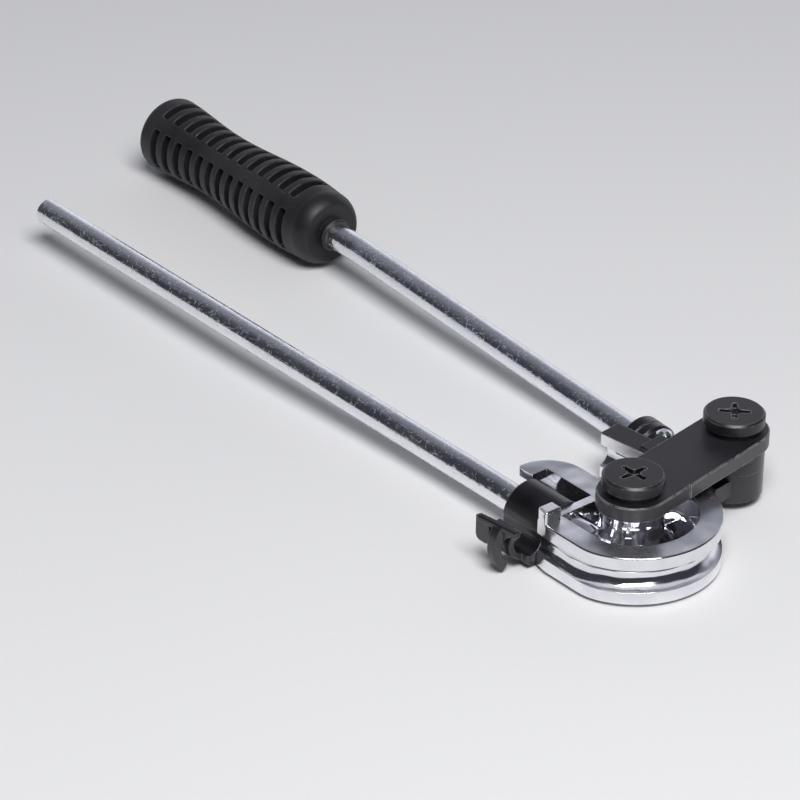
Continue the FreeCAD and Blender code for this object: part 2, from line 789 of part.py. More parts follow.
def grip_bush():
    """Short plain ring where the rod enters the grip."""
    solid = bar(grip_bush_radius, -grip_bush_length, 0, 0, 0)
    rim = edges_where(solid, lambda edge, spot: edge.Length > grip_bush_radius * 6
                      and spot.x < -grip_bush_length / 2)
    solid = solid.makeChamfer(grip_bush_length / 4, rim)
    hole = bar(rod_radius + grip_rod_gap, -grip_bush_length - cut_overrun, cut_overrun, 0, 0)
    return laid_on_rod(solid.cut(hole))


# All pieces by name

hub = (0, 0)
hub_floor = 0
pivot_floor = barrel_bottom
pieces = {
    "former": former(),
    "fixed_rod": fixed_rod(),
    "fixed_rod_pin": fixed_rod_pin(),
    "hub_bush": bush(hub, hub_shank_radius, hub_floor + nut_hole_depth, boss_top),
    "tube_hook": hook(),
    "link_plate": link_plate(),
    "hub_screw": pivot_screw(hub, hub_shank_radius, hub_floor + nut_recess, hub_cross_turn),
    "hub_neck_washer": neck_washer(hub, hub_shank_radius),
    "hub_spacer_washer": spacer_washer(hub, hub_shank_radius),
    "hub_lower_washer": lower_washer(hub, hub_shank_radius, hub_floor, hub_nut_flats / 2),
    "hub_nut": shank_nut(hub, hub_shank_radius, hub_floor, hub_nut_flats),
    "pivot_screw": pivot_screw(pivot, pivot_shank_radius, pivot_floor + nut_recess, pivot_cross_turn),
    "pivot_neck_washer": neck_washer(pivot, pivot_shank_radius),
    "pivot_spacer_washer": spacer_washer(pivot, pivot_shank_radius),
    "pivot_bush": bush(pivot, pivot_shank_radius, pivot_floor + nut_hole_depth, boss_top),
    "pivot_lower_washer": lower_washer(pivot, pivot_shank_radius, pivot_floor, pivot_nut_flats / 2),
    "pivot_nut": shank_nut(pivot, pivot_shank_radius, pivot_floor, pivot_nut_flats),
    "shoe": shoe(),
    "handle_body": handle_body(),
    "top_strap": top_strap(),
    "strap_rivets": strap_rivets(),
    "shoe_screw": shoe_screw(),
    "rod_clamp_screw": closed(clamp_screw(0)),
    "moving_rod": moving_rod(),
    "rod_collar": rod_collar(),
    "grip": grip(),
    "grip_bush": grip_bush(),
}

os.makedirs("parts", exist_ok=True)
for name, shape in pieces.items():
    shape.exportStep("parts/" + name + ".step")
    print(name, len(shape.Solids), "solids", round(shape.Volume), "mm3", shape.isValid())
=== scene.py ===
import json
import math

import bpy
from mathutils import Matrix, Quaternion, Vector


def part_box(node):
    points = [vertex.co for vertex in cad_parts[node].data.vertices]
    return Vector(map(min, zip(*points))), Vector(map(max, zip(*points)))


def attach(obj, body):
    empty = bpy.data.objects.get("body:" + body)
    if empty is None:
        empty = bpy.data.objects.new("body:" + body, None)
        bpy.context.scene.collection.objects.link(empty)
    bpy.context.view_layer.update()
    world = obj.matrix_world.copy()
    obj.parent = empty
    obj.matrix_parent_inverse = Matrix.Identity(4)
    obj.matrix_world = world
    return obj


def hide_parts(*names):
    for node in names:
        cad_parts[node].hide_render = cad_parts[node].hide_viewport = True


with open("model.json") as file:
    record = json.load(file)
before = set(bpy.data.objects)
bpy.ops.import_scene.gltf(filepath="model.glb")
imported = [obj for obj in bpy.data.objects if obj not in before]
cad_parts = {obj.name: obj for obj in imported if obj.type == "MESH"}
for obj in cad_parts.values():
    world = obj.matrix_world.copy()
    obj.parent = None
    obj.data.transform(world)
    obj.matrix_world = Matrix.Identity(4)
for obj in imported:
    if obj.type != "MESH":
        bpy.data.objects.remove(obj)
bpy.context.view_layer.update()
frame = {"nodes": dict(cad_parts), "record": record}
print("frame loaded:", len(frame["nodes"]), "nodes")


# Camera

cameraSetup = {
    "place": (-0.8814, 0.8619, 0.7720),
    "heading": -40.13,  # degrees from +X
    "tilt": -29.77,  # degrees, down is negative
    "roll": 0.84,  # degrees
    "lens": 166.5,  # millimetres, and the sensor too
    "sensor": 36.0,
    "clipStart": 0.05,
}


def makeCamera(setup):
    heading = math.radians(setup["heading"])
    tilt = math.radians(setup["tilt"])
    flat = math.cos(tilt)
    forward = Vector((flat * math.cos(heading), flat * math.sin(heading), math.sin(tilt)))
    data = bpy.data.cameras.new("camera")
    data.lens = setup["lens"]
    data.sensor_width = setup["sensor"]
    data.clip_start = setup["clipStart"]
    camera = bpy.data.objects.new("camera", data)
    camera.location = setup["place"]
    roll = Quaternion((0, 0, 1), math.radians(setup["roll"]))
    camera.rotation_mode = "QUATERNION"
    camera.rotation_quaternion = forward.to_track_quat("-Z", "Y") @ roll
    bpy.context.scene.collection.objects.link(camera)
    bpy.context.scene.camera = camera


makeCamera(cameraSetup)
print("camera placed")


# Small helpers for node trees

number, vector = "NodeSocketFloat", "NodeSocketVector"


def fill(tree, made, inputs):  # links or sets each input of a node
    for name, value in inputs.items():
        if isinstance(value, bpy.types.NodeSocket):
            tree.links.new(value, made.inputs[name])
        else:
            made.inputs[name].default_value = value


def put(tree, kind, inputs=None, **settings):  # adds a node and sets its options
    made = tree.nodes.new(kind)
    for name, value in settings.items():
        setattr(made, name, value)
    fill(tree, made, inputs or {})
    return made


def calculate(tree, operation, first, second=0.0, clamp=False):
    return put(tree, "ShaderNodeMath", {0: first, 1: second}, operation=operation, use_clamp=clamp).outputs[0]


def times(tree, first, second):
    return calculate(tree, "MULTIPLY", first, second)


def line(tree, value, slope, base):  # value * slope + base
    return put(tree, "ShaderNodeMath", {0: value, 1: slope, 2: base}, operation="MULTIPLY_ADD").outputs[0]


def addShare(tree, base, mask, share):
    return calculate(tree, "ADD", base, times(tree, mask, share))


def remap(tree, value, low, high):  # smoothly from 0 at low to 1 at high
    ranges = {"Value": value, "From Min": low, "From Max": high, "To Min": 0.0, "To Max": 1.0}
    return put(tree, "ShaderNodeMapRange", ranges, interpolation_type="SMOOTHSTEP").outputs[0]


def ramp(tree, value, width):  # straight from 0 at nothing to 1 at the width
    return put(tree, "ShaderNodeMapRange", {"Value": value, "From Max": width}).outputs[0]


def tint(tree, factor, first, second):
    mixer = put(tree, "ShaderNodeMix", {0: factor, 6: first, 7: second}, data_type="RGBA")
    return mixer.outputs[2]


def stretched(tree, vector, scale):
    return put(tree, "ShaderNodeMapping", {"Vector": vector, "Scale": scale}).outputs[0]


def noise(tree, vector, scale, detail=4.0, roughness=0.55):
    values = {"Vector": vector, "Scale": scale, "Detail": detail, "Roughness": roughness, "Distortion": 0.0}
    return put(tree, "ShaderNodeTexNoise", values).outputs["Fac"]


def parts(tree, value):  # x, y and z of a vector
    return put(tree, "ShaderNodeSeparateXYZ", {0: value}).outputs


def dot(tree, first, second):
    return put(tree, "ShaderNodeVectorMath", {0: first, 1: second}, operation="DOT_PRODUCT").outputs["Value"]


def length(tree, value):
    return put(tree, "ShaderNodeVectorMath", {0: value}, operation="LENGTH").outputs["Value"]


def bump(tree, height, relief, normal):  # relief is distance and strength
    distance, strength = relief
    values = {"Height": height, "Distance": distance, "Strength": strength, "Normal": normal}
    return put(tree, "ShaderNodeBump", values).outputs[0]


def newGroup(name, inputs, outputs):
    group = bpy.data.node_groups.new(name, "ShaderNodeTree")
    for title, kind, value in inputs:
        socket = group.interface.new_socket(name=title, in_out="INPUT", socket_type=kind)
        if value is not None:
            socket.default_value = value
    for title, kind in outputs:
        group.interface.new_socket(name=title, in_out="OUTPUT", socket_type=kind)
    return group, group.nodes.new("NodeGroupInput").outputs, group.nodes.new("NodeGroupOutput").inputs


# Effects that several finishes share. A noise is given as scale, detail and roughness

edgeWearSetup = {"samples": 6, "speckle": (420.0, 5.0, 0.7), "speckleRange": (0.35, 0.62)}


def makeEdgeWear(setup):  # rounds the edges in the shading, and gives a mask of them
    ins = [("Radius", number, 0.0004), ("Gain", number, 6.0), ("Vector", vector, None)]
    group, given, result = newGroup("edgeWear", ins, [("Mask", number), ("Normal", vector)])
    soft = put(group, "ShaderNodeBevel", {"Radius": given["Radius"]}, samples=setup["samples"]).outputs[0]
    true = put(group, "ShaderNodeNewGeometry").outputs["Normal"]
    turned = calculate(group, "SUBTRACT", 1.0, dot(group, soft, true))
    broken = remap(group, noise(group, given["Vector"], *setup["speckle"]), *setup["speckleRange"])
    strength = times(group, times(group, turned, given["Gain"]), broken)
    group.links.new(calculate(group, "MINIMUM", strength, 1.0), result["Mask"])
    group.links.new(soft, result["Normal"])
    return group


scuffsSetup = {
    "warpScale": 260.0, "warpDetail": 3.0, "warpReach": 0.006, "breaks": (700.0, 3.0, 0.6),
    "breaksRange": (0.48, 0.62), "patches": (130.0, 4.0, 0.65), "contrast": 9.0,
}


def makeScuffs(setup):  # short curly scratches in patches
    ins = [("Vector", vector, None), ("Scale", number, 300.0), ("Width", number, 0.03), ("Cover", number, 0.5)]
    group, given, result = newGroup("scuffs", ins, [("Mask", number), ("Patch", number)])
    warp = put(group, "ShaderNodeTexNoise", {"Vector": given["Vector"], "Scale": setup["warpScale"],
                                             "Detail": setup["warpDetail"]})
    push = put(group, "ShaderNodeVectorMath", {0: warp.outputs["Color"], "Scale": setup["warpReach"]},
               operation="SCALE")
    bent = put(group, "ShaderNodeVectorMath", {0: given["Vector"], 1: push.outputs[0]}, operation="ADD")
    lines = put(group, "ShaderNodeTexVoronoi", {"Vector": bent.outputs[0], "Scale": given["Scale"]},
                feature="DISTANCE_TO_EDGE").outputs["Distance"]
    thin = calculate(group, "SUBTRACT", 1.0, ramp(group, lines, given["Width"]))
    broken = remap(group, noise(group, given["Vector"], *setup["breaks"]), *setup["breaksRange"])
    patch = noise(group, given["Vector"], *setup["patches"])
    edge = calculate(group, "SUBTRACT", 1.0, given["Cover"])
    shown = calculate(group, "MULTIPLY", calculate(group, "SUBTRACT", patch, edge), setup["contrast"], True)
    group.links.new(times(group, times(group, thin, broken), shown), result["Mask"])
    group.links.new(shown, result["Patch"])
    return group


hairlinesSetup = {"detail": 5.0, "roughness": 0.7}


def makeHairlines(setup):  # long fine lines along one way
    ins = [("Vector", vector, None), ("Scale", number, 3000.0)]
    group, given, result = newGroup("hairlines", ins, [("Height", number)])
    fine = put(group, "ShaderNodeTexNoise", {"Vector": given["Vector"], "Scale": given["Scale"],
                                             "Detail": setup["detail"], "Roughness": setup["roughness"]})
    group.links.new(fine.outputs["Fac"], result["Height"])
    return group


grainSetup = {"detail": 4.0, "roughness": 0.6, "pitShare": 0.35, "tone": (45.0, 5.0, 0.6), "toneRange": (0.3, 0.7)}


def makeGrain(setup):  # fine orange peel of paint and moulded plastic, with slow changes of tone
    ins = [("Vector", vector, None), ("Scale", number, 1800.0)]
    group, given, result = newGroup("grain", ins, [("Height", number), ("Tone", number)])
    fine = put(group, "ShaderNodeTexNoise", {"Vector": given["Vector"], "Scale": given["Scale"],
                                             "Detail": setup["detail"], "Roughness": setup["roughness"]})
    pits = put(group, "ShaderNodeTexVoronoi", {"Vector": given["Vector"], "Scale": given["Scale"]})
    both = line(group, pits.outputs["Distance"], setup["pitShare"], fine.outputs["Fac"])
    group.links.new(both, result["Height"])
    tone = remap(group, noise(group, given["Vector"], *setup["tone"]), *setup["toneRange"])
    group.links.new(tone, result["Tone"])
    return group


wavesSetup = {"detail": 2.0, "roughness": 0.4, "cloud": (70.0, 6.0, 0.65), "cloudRange": (0.35, 0.7)}


def makeWaves(setup):  # slow hollows that polishing leaves in a casting
    ins = [("Vector", vector, None), ("Scale", number, 110.0)]
    group, given, result = newGroup("waves", ins, [("Height", number), ("Cloud", number)])
    slow = put(group, "ShaderNodeTexNoise", {"Vector": given["Vector"], "Scale": given["Scale"],
                                             "Detail": setup["detail"], "Roughness": setup["roughness"]})
    group.links.new(slow.outputs["Fac"], result["Height"])
    cloud = remap(group, noise(group, given["Vector"], *setup["cloud"]), *setup["cloudRange"])
    group.links.new(cloud, result["Cloud"])
    return group


effects = {
    "edgeWear": makeEdgeWear(edgeWearSetup),
    "scuffs": makeScuffs(scuffsSetup),
    "hairlines": makeHairlines(hairlinesSetup),
    "grain": makeGrain(grainSetup),
    "waves": makeWaves(wavesSetup),
}
print("effects made:", len(effects))


def effect(tree, name, **inputs):
    made = put(tree, "ShaderNodeGroup", node_tree=effects[name])
    fill(tree, made, inputs)
    return made.outputs


def startFinish(name, metallic, ior=1.5):
    material = bpy.data.materials.new(name)
    material.use_nodes = True
    tree = material.node_tree
    tree.nodes.clear()
    shader = put(tree, "ShaderNodeBsdfPrincipled", {"Metallic": metallic, "IOR": ior})
    put(tree, "ShaderNodeOutputMaterial", {"Surface": shader.outputs[0]})
    places = put(tree, "ShaderNodeTexCoord").outputs
    return material, tree, shader.inputs, places


# Finishes. Each relief is distance and strength, each scuff the inputs of its effect

castingFinish = {
    "bright": (0.90, 0.90, 0.93, 1), "dull": (0.70, 0.71, 0.77, 1), "edge": (0.95, 0.95, 0.97, 1),
    "edgeRadius": 0.0004, "edgeGain": 5.0, "edgeShare": 0.7,
    "waveScale": 120.0, "rippleScale": 130.0, "swellScale": 34.0,
    "scuff": {"Scale": 520.0, "Width": 0.035, "Cover": 0.5},
    "brush": (0.25, 1.0, 1.0), "brushScale": 1900.0, "turn": (0.05, 0.05, 1.0), "turnScale": 2600.0,
    "hollowRadius": 0.0266, "hollowBottom": 0.008, "hollowTop": 0.0195,  # the dish round the boss
    "wallSoft": 0.0004, "bottomSoft": 0.0006, "topSoft": 0.0008, "topFacing": (0.9, 0.98),
    "stainShare": 0.55, "topRoughness": 0.25, "sideRoughness": 0.09, "stainRoughness": 0.09,
    "scuffRoughness": 0.22,
    "swellRelief": (0.0075, 0.5), "waveRelief": (0.0006, 0.10), "rippleRelief": (0.0009, 0.28),
    "brushRelief": (0.00002, 0.22), "turnRelief": (0.00002, 0.07), "scuffRelief": (0.00003, -0.25),
}


def polishedCasting(setup):
    material, tree, shader, places = startFinish("polishedCasting", 1.0)
    here = places["Object"]
    edge = effect(tree, "edgeWear", Radius=setup["edgeRadius"], Gain=setup["edgeGain"], Vector=here)
    waves = effect(tree, "waves", Vector=here, Scale=setup["waveScale"])
    ripple = effect(tree, "waves", Vector=here, Scale=setup["rippleScale"])
    swell = effect(tree, "waves", Vector=here, Scale=setup["swellScale"])
    scuff = effect(tree, "scuffs", Vector=here, **setup["scuff"])
    brushed = effect(tree, "hairlines", Vector=stretched(tree, here, setup["brush"]), Scale=setup["brushScale"])
    turned = effect(tree, "hairlines", Vector=stretched(tree, here, setup["turn"]), Scale=setup["turnScale"])

    split = parts(tree, here)
    flat = put(tree, "ShaderNodeCombineXYZ", {0: split[0], 1: split[1]}).outputs[0]
    wall, bottom, rim = setup["hollowRadius"], setup["hollowBottom"], setup["hollowTop"]
    inside = remap(tree, length(tree, flat), wall + setup["wallSoft"], wall - setup["wallSoft"])
    above = remap(tree, split[2], bottom, bottom + setup["bottomSoft"])
    below = remap(tree, split[2], rim + setup["topSoft"], rim)
    hollow = times(tree, times(tree, inside, above), below)
    facing = parts(tree, places["Normal"])[2]
    top = times(tree, remap(tree, facing, *setup["topFacing"]), calculate(tree, "SUBTRACT", 1.0, hollow))

    stain = times(tree, waves["Cloud"], setup["stainShare"])
    colour = tint(tree, stain, setup["bright"], setup["dull"])
    colour = tint(tree, times(tree, edge["Mask"], setup["edgeShare"]), colour, setup["edge"])
    tree.links.new(colour, shader["Base Color"])

    rough = line(tree, top, setup["topRoughness"] - setup["sideRoughness"], setup["sideRoughness"])
    rough = addShare(tree, rough, waves["Cloud"], setup["stainRoughness"])
    rough = addShare(tree, rough, scuff["Mask"], setup["scuffRoughness"])
    tree.links.new(rough, shader["Roughness"])

    normal = bump(tree, swell["Height"], setup["swellRelief"], edge["Normal"])
    normal = bump(tree, waves["Height"], setup["waveRelief"], normal)
    normal = bump(tree, times(tree, ripple["Height"], hollow), setup["rippleRelief"], normal)
    normal = bump(tree, times(tree, brushed["Height"], top), setup["brushRelief"], normal)
    normal = bump(tree, turned["Height"], setup["turnRelief"], normal)
    normal = bump(tree, scuff["Mask"], setup["scuffRelief"], normal)
    tree.links.new(normal, shader["Normal"])
    return material


rodFinish = {
    "bright": (0.92, 0.93, 0.96, 1), "dull": (0.70, 0.73, 0.80, 1), "scuff": (0.94, 0.95, 0.97, 1),
    "edgeRadius": 0.0004, "edgeGain": 4.0,
    "stretch": (0.30, 1.0, 1.0), "scratches": {"Scale": 430.0, "Width": 0.08, "Cover": 0.60},
    "curls": {"Scale": 210.0, "Width": 0.07, "Cover": 0.62},
    "draw": (0.02, 1.0, 1.0), "drawScale": 2200.0, "flakeScale": 560.0,
    "smearStretch": (0.12, 1.0, 1.0), "smear": (330.0, 6.0, 0.7), "smearRange": (0.36, 0.66),
    "smearShare": 0.45, "markShare": 0.6,
    "roughness": 0.08, "smearRoughness": 0.05, "flakeRoughness": 0.12, "markRoughness": 0.30,
    "flakeRelief": (0.00010, 0.16), "markRelief": (0.00010, 0.40), "drawRelief": (0.00002, 0.08),
}


def platedRod(setup):
    material, tree, shader, places = startFinish("platedRod", 1.0)
    here = places["Object"]
    long = stretched(tree, here, setup["stretch"])
    edge = effect(tree, "edgeWear", Radius=setup["edgeRadius"], Gain=setup["edgeGain"], Vector=here)
    scuff = effect(tree, "scuffs", Vector=long, **setup["scratches"])
    curls = effect(tree, "scuffs", Vector=here, **setup["curls"])
    drawn = effect(tree, "hairlines", Vector=stretched(tree, here, setup["draw"]), Scale=setup["drawScale"])
    flakes = put(tree, "ShaderNodeTexVoronoi", {"Vector": long, "Scale": setup["flakeScale"], "Randomness": 1.0})
    flake = parts(tree, flakes.outputs["Color"])[0]
    smear = noise(tree, stretched(tree, here, setup["smearStretch"]), *setup["smear"])
    smear = remap(tree, smear, *setup["smearRange"])
    marks = calculate(tree, "MAXIMUM", scuff["Mask"], curls["Mask"])

    colour = tint(tree, times(tree, smear, setup["smearShare"]), setup["bright"], setup["dull"])
    colour = tint(tree, times(tree, marks, setup["markShare"]), colour, setup["scuff"])
    tree.links.new(colour, shader["Base Color"])

    patchy = times(tree, flake, scuff["Patch"])
    rough = line(tree, smear, setup["smearRoughness"], setup["roughness"])
    rough = addShare(tree, rough, patchy, setup["flakeRoughness"])
    rough = addShare(tree, rough, marks, setup["markRoughness"])
    tree.links.new(rough, shader["Roughness"])

    normal = bump(tree, patchy, setup["flakeRelief"], edge["Normal"])
    normal = bump(tree, marks, setup["markRelief"], normal)
    normal = bump(tree, drawn["Height"], setup["drawRelief"], normal)
    tree.links.new(normal, shader["Normal"])
    return material


blackCastingFinish = {
    "dark": (0.006, 0.006, 0.008, 1), "light": (0.013, 0.012, 0.016, 1), "edge": (0.34, 0.34, 0.37, 1),
    # the wall colour is a painted sheen: faces that look sideways are painted paler than tops
    "wall": (0.034, 0.034, 0.037, 1), "scuffColour": (0.07, 0.07, 0.08, 1),
    "edgeRadius": 0.0005, "edgeGain": 6.0, "edgeShare": 0.6, "paintedSheenFacing": (0.75, 0.25),
    "scuff": {"Scale": 380.0, "Width": 0.03, "Cover": 0.42}, "scuffShare": 0.35,
    "grainScale": 1500.0, "grainRelief": (0.00004, 0.14),
    "brush": (1.0, 1.0, 0.2), "brushScale": 2400.0, "brushRelief": (0.00003, 0.03),
    "roughness": 0.18, "grainRoughness": 0.10, "scuffRoughness": 0.12, "ior": 1.50,
}

blackLinkFinish = dict(
    blackCastingFinish, dark=(0.011, 0.010, 0.014, 1), light=(0.018, 0.017, 0.022, 1),
    # the link's walls get a stronger painted sheen than the other black pieces
    wall=(0.060, 0.059, 0.064, 1), edge=(0.65, 0.65, 0.68, 1), edgeShare=0.95, edgeRadius=0.0004,
    edgeGain=14.0, grainScale=2600.0, grainRelief=(0.00004, 0.20), brush=(1.0, 0.18, 1.0),
    brushRelief=(0.00003, 0.16), roughness=0.34, ior=1.47)

blackScrewFinish = dict(
    blackLinkFinish, wall=(0.012, 0.012, 0.014, 1), edge=(0.42, 0.42, 0.44, 1), edgeShare=0.8,
    edgeRadius=0.0007, edgeGain=5.0, grainScale=2200.0, grainRelief=(0.00004, 0.24),
    brushRelief=(0.00003, 0.05), roughness=0.28, ior=1.50)


def satinBlack(name, setup):  # black paint over metal, with a painted sheen that makes its walls paler than its tops, and a little bare on its edges
    material, tree, shader, places = startFinish(name, 0.0, setup["ior"])
    here = places["Object"]
    edge = effect(tree, "edgeWear", Radius=setup["edgeRadius"], Gain=setup["edgeGain"], Vector=here)
    grain = effect(tree, "grain", Vector=here, Scale=setup["grainScale"])
    scuff = effect(tree, "scuffs", Vector=here, **setup["scuff"])
    brushed = effect(tree, "hairlines", Vector=stretched(tree, here, setup["brush"]), Scale=setup["brushScale"])

    facing = parts(tree, places["Normal"])[2]
    # painted sheen: the less a face looks up or down, the more of the wall colour it takes
    wall = remap(tree, calculate(tree, "ABSOLUTE", facing), *setup["paintedSheenFacing"])
    colour = tint(tree, grain["Tone"], setup["dark"], setup["light"])
    colour = tint(tree, wall, colour, setup["wall"])
    colour = tint(tree, times(tree, scuff["Mask"], setup["scuffShare"]), colour, setup["scuffColour"])
    colour = tint(tree, times(tree, edge["Mask"], setup["edgeShare"]), colour, setup["edge"])
    tree.links.new(colour, shader["Base Color"])

    rough = line(tree, grain["Tone"], setup["grainRoughness"], setup["roughness"])
    rough = addShare(tree, rough, scuff["Mask"], setup["scuffRoughness"])
    tree.links.new(rough, shader["Roughness"])

    normal = bump(tree, grain["Height"], setup["grainRelief"], edge["Normal"])
    normal = bump(tree, brushed["Height"], setup["brushRelief"], normal)
    tree.links.new(normal, shader["Normal"])
    return material


shoeCoatFinish = {
    "black": (0.010, 0.010, 0.013, 1), "paler": (0.018, 0.017, 0.021, 1), "bright": (0.90, 0.90, 0.93, 1),
    "dull": (0.72, 0.73, 0.78, 1), "ior": 1.4,
    "edgeRadius": 0.0004, "edgeGain": 7.0, "edgeShare": 0.8, "grainScale": 1900.0, "waveScale": 150.0,
    "scuff": {"Scale": 480.0, "Width": 0.03, "Cover": 0.48},
    "front": (-0.108, 0.9942, 0.0), "frontFacing": (0.55, 0.85),  # the way its bright face looks
    "groovePlace": -0.036, "grooveHeight": 0.0105, "grooveRadius": 0.005, "grooveSoft": (0.0003, 0.0001),
    "scuffShare": 0.15, "cloudShare": 0.5,
    "roughness": 0.30, "bareRoughness": 0.12, "scuffRoughness": 0.2,
    "waveRelief": (0.0005, 0.10), "grainRelief": (0.00003, 0.2),
}


def shoeCoat(setup):  # black all over but for the face and the groove, which slide on the tube and are bright
    material, tree, shader, places = startFinish("shoeCoat", 0.0, setup["ior"])
    here = places["Object"]
    edge = effect(tree, "edgeWear", Radius=setup["edgeRadius"], Gain=setup["edgeGain"], Vector=here)
    grain = effect(tree, "grain", Vector=here, Scale=setup["grainScale"])
    waves = effect(tree, "waves", Vector=here, Scale=setup["waveScale"])
    scuff = effect(tree, "scuffs", Vector=here, **setup["scuff"])
    across = calculate(tree, "SUBTRACT", dot(tree, here, setup["front"]), setup["groovePlace"])
    upward = calculate(tree, "SUBTRACT", parts(tree, here)[2], setup["grooveHeight"])
    reach = length(tree, put(tree, "ShaderNodeCombineXYZ", {0: across, 1: upward}).outputs[0])
    outer, inner = (setup["grooveRadius"] + soft for soft in setup["grooveSoft"])
    facing = remap(tree, dot(tree, places["Normal"], setup["front"]), *setup["frontFacing"])
    bare = calculate(tree, "MAXIMUM", remap(tree, reach, outer, inner), facing)

    coat = tint(tree, grain["Tone"], setup["black"], setup["paler"])
    coat = tint(tree, times(tree, scuff["Mask"], setup["scuffShare"]), coat, setup["dull"])
    metal = tint(tree, times(tree, waves["Cloud"], setup["cloudShare"]), setup["bright"], setup["dull"])
    worn = calculate(tree, "MAXIMUM", bare, times(tree, edge["Mask"], setup["edgeShare"]))
    tree.links.new(tint(tree, worn, coat, metal), shader["Base Color"])
    tree.links.new(bare, shader["Metallic"])

    rough = line(tree, bare, setup["bareRoughness"] - setup["roughness"], setup["roughness"])
    rough = addShare(tree, rough, scuff["Mask"], setup["scuffRoughness"])
    tree.links.new(rough, shader["Roughness"])
    normal = bump(tree, waves["Height"], setup["waveRelief"], edge["Normal"])
    normal = bump(tree, grain["Height"], setup["grainRelief"], normal)
    tree.links.new(normal, shader["Normal"])
    return material


steelFinish = {
    "bright": (0.56, 0.57, 0.58, 1), "dull": (0.38, 0.39, 0.40, 1), "roughness": 0.30,
    "edgeRadius": 0.0003, "edgeGain": 5.0, "edgeShare": 0.5, "turn": (0.2, 0.2, 1.0), "turnScale": 2800.0,
    "turnRelief": (0.00003, 0.3), "cloudScale": 300.0, "cloudRoughness": 0.14,
}

bronzeFinish = dict(steelFinish, bright=(0.62, 0.43, 0.22, 1), dull=(0.40, 0.26, 0.13, 1), roughness=0.34)

platedScrewFinish = dict(steelFinish, bright=(0.80, 0.81, 0.84, 1), dull=(0.62, 0.63, 0.66, 1), roughness=0.14)


def turnedMetal(name, setup):  # small turned or plated pieces
    material, tree, shader, places = startFinish(name, 1.0)
    here = places["Object"]
    edge = effect(tree, "edgeWear", Radius=setup["edgeRadius"], Gain=setup["edgeGain"], Vector=here)
    lines = effect(tree, "hairlines", Vector=stretched(tree, here, setup["turn"]), Scale=setup["turnScale"])
    waves = effect(tree, "waves", Vector=here, Scale=setup["cloudScale"])
    colour = tint(tree, waves["Cloud"], setup["bright"], setup["dull"])
    colour = tint(tree, times(tree, edge["Mask"], setup["edgeShare"]), colour, setup["bright"])
    tree.links.new(colour, shader["Base Color"])
    rough = line(tree, waves["Cloud"], setup["cloudRoughness"], setup["roughness"])
    tree.links.new(rough, shader["Roughness"])
    tree.links.new(bump(tree, lines["Height"], setup["turnRelief"], edge["Normal"]), shader["Normal"])
    return material


gripFinish = {
    "dark": (0.010, 0.010, 0.012, 1), "light": (0.020, 0.020, 0.023, 1), "edge": (0.34, 0.34, 0.35, 1),
    "ior": 1.48, "edgeRadius": 0.0007, "edgeGain": 8.0, "grainScale": 1300.0,
    "scuff": {"Scale": 300.0, "Width": 0.03, "Cover": 0.45}, "scuffShare": 0.6, "wornShare": 0.6,
    "roughness": 0.42, "grainRoughness": 0.14, "grainRelief": (0.00006, 0.5),
}


def gripPlastic(setup):
    material, tree, shader, places = startFinish("gripPlastic", 0.0, setup["ior"])
    here = places["Object"]
    edge = effect(tree, "edgeWear", Radius=setup["edgeRadius"], Gain=setup["edgeGain"], Vector=here)
    grain = effect(tree, "grain", Vector=here, Scale=setup["grainScale"])
    scuff = effect(tree, "scuffs", Vector=here, **setup["scuff"])
    colour = tint(tree, grain["Tone"], setup["dark"], setup["light"])
    worn = calculate(tree, "MAXIMUM", edge["Mask"], times(tree, scuff["Mask"], setup["scuffShare"]))
    colour = tint(tree, times(tree, worn, setup["wornShare"]), colour, setup["edge"])
    tree.links.new(colour, shader["Base Color"])
    rough = line(tree, grain["Tone"], setup["grainRoughness"], setup["roughness"])
    tree.links.new(rough, shader["Roughness"])
    tree.links.new(bump(tree, grain["Height"], setup["grainRelief"], edge["Normal"]), shader["Normal"])
    return material


finishes = {
    "polished_casting": polishedCasting(castingFinish),
    "plated_rod": platedRod(rodFinish),
    "black_casting": satinBlack("blackCasting", blackCastingFinish),
    "black_link": satinBlack("blackLink", blackLinkFinish),
    "black_screws": satinBlack("blackScrews", blackScrewFinish),
    "steel_hardware": turnedMetal("steelHardware", steelFinish),
    "plated_screw": turnedMetal("platedScrew", platedScrewFinish),
    "bearing_bronze": turnedMetal("bearingBronze", bronzeFinish),
    "grip_plastic": gripPlastic(gripFinish),
}

ownFinishes = {"shoe": shoeCoat(shoeCoatFinish)}  # in place of the finish of its slot

slotOf = {part["node"]: part["material_slot"] for part in frame["record"]["subparts"]}


def wear(piece, finish):
    piece.data.materials.clear()
    piece.data.materials.append(finish)


for nodeName, node in frame["nodes"].items():
    wear(node, ownFinishes.get(nodeName, finishes[slotOf[nodeName]]))
print("finishes made:", len(finishes) + len(ownFinishes))


# Pieces with softened edges, made from the frame's own shapes

softPieces = {
    "grip": {"name": "gripMoulding", "voxel": 0.00038, "rounds": 2, "strength": 0.5},
    "tube_hook": {"name": "hookCasting", "voxel": 0.0003, "rounds": 3, "strength": 0.5},
}


def bodyOf(nodeName):
    bodies = frame["record"]["behaviour"]["bodies"]
    return next(body for body, names in bodies.items() if nodeName in names)


